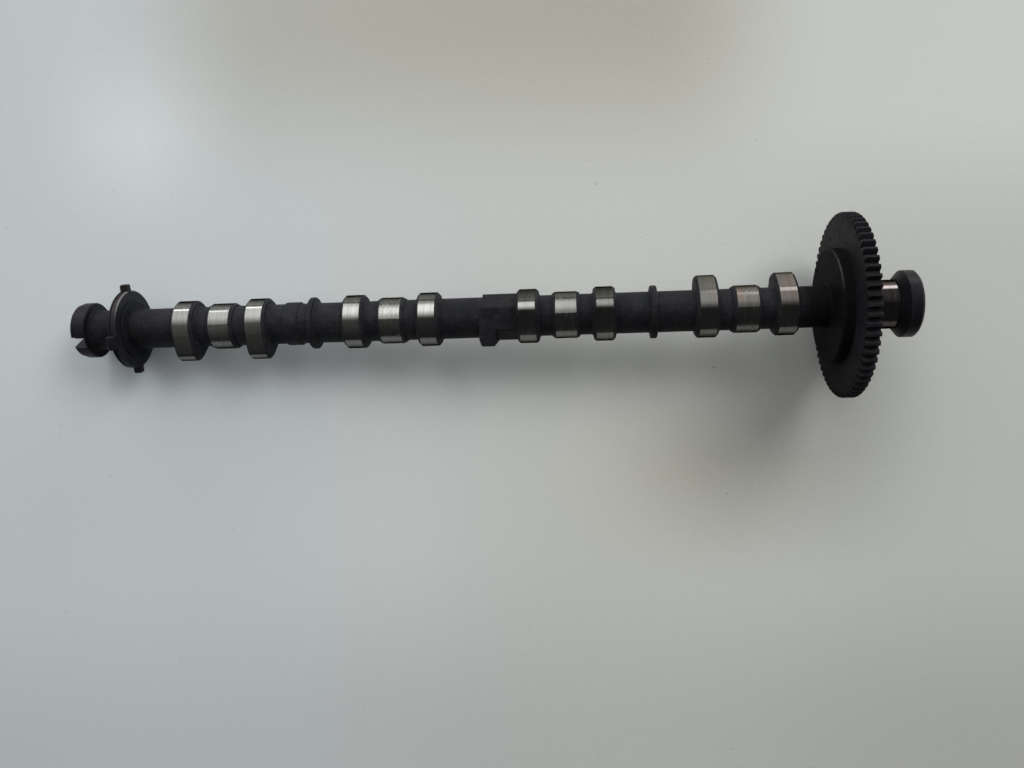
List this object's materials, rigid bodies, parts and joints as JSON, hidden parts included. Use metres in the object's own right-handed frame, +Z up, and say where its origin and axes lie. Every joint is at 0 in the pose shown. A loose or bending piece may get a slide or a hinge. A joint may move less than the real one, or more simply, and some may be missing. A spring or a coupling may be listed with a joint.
{
  "type": "camshaft",
  "caption": "Cast camshaft with ground lobes and journals, a spur drive gear at the front, a toothed sensor ring and a slotted drive head at the rear.",
  "frame": {"origin": "centre of the front end face, on the shaft's axis", "axes": "+X along the shaft's axis and out of the front (gear) end; Z up from the table that the shaft lies on; the shaft's axis is level"},
  "size_m": [0.4495, 0.0962, 0.0962],
  "materials": {
    "cast_shaft": "as cast, with ground lobes and journals",
    "gear_steel": "dark oiled steel",
    "ring_steel": "dark steel with a browned rim"
  },
  "bodies": {
    "root": {"camshaft": "cast_shaft", "drive_gear": "gear_steel", "sensor_ring": "ring_steel"}
  },
  "joints": []
}
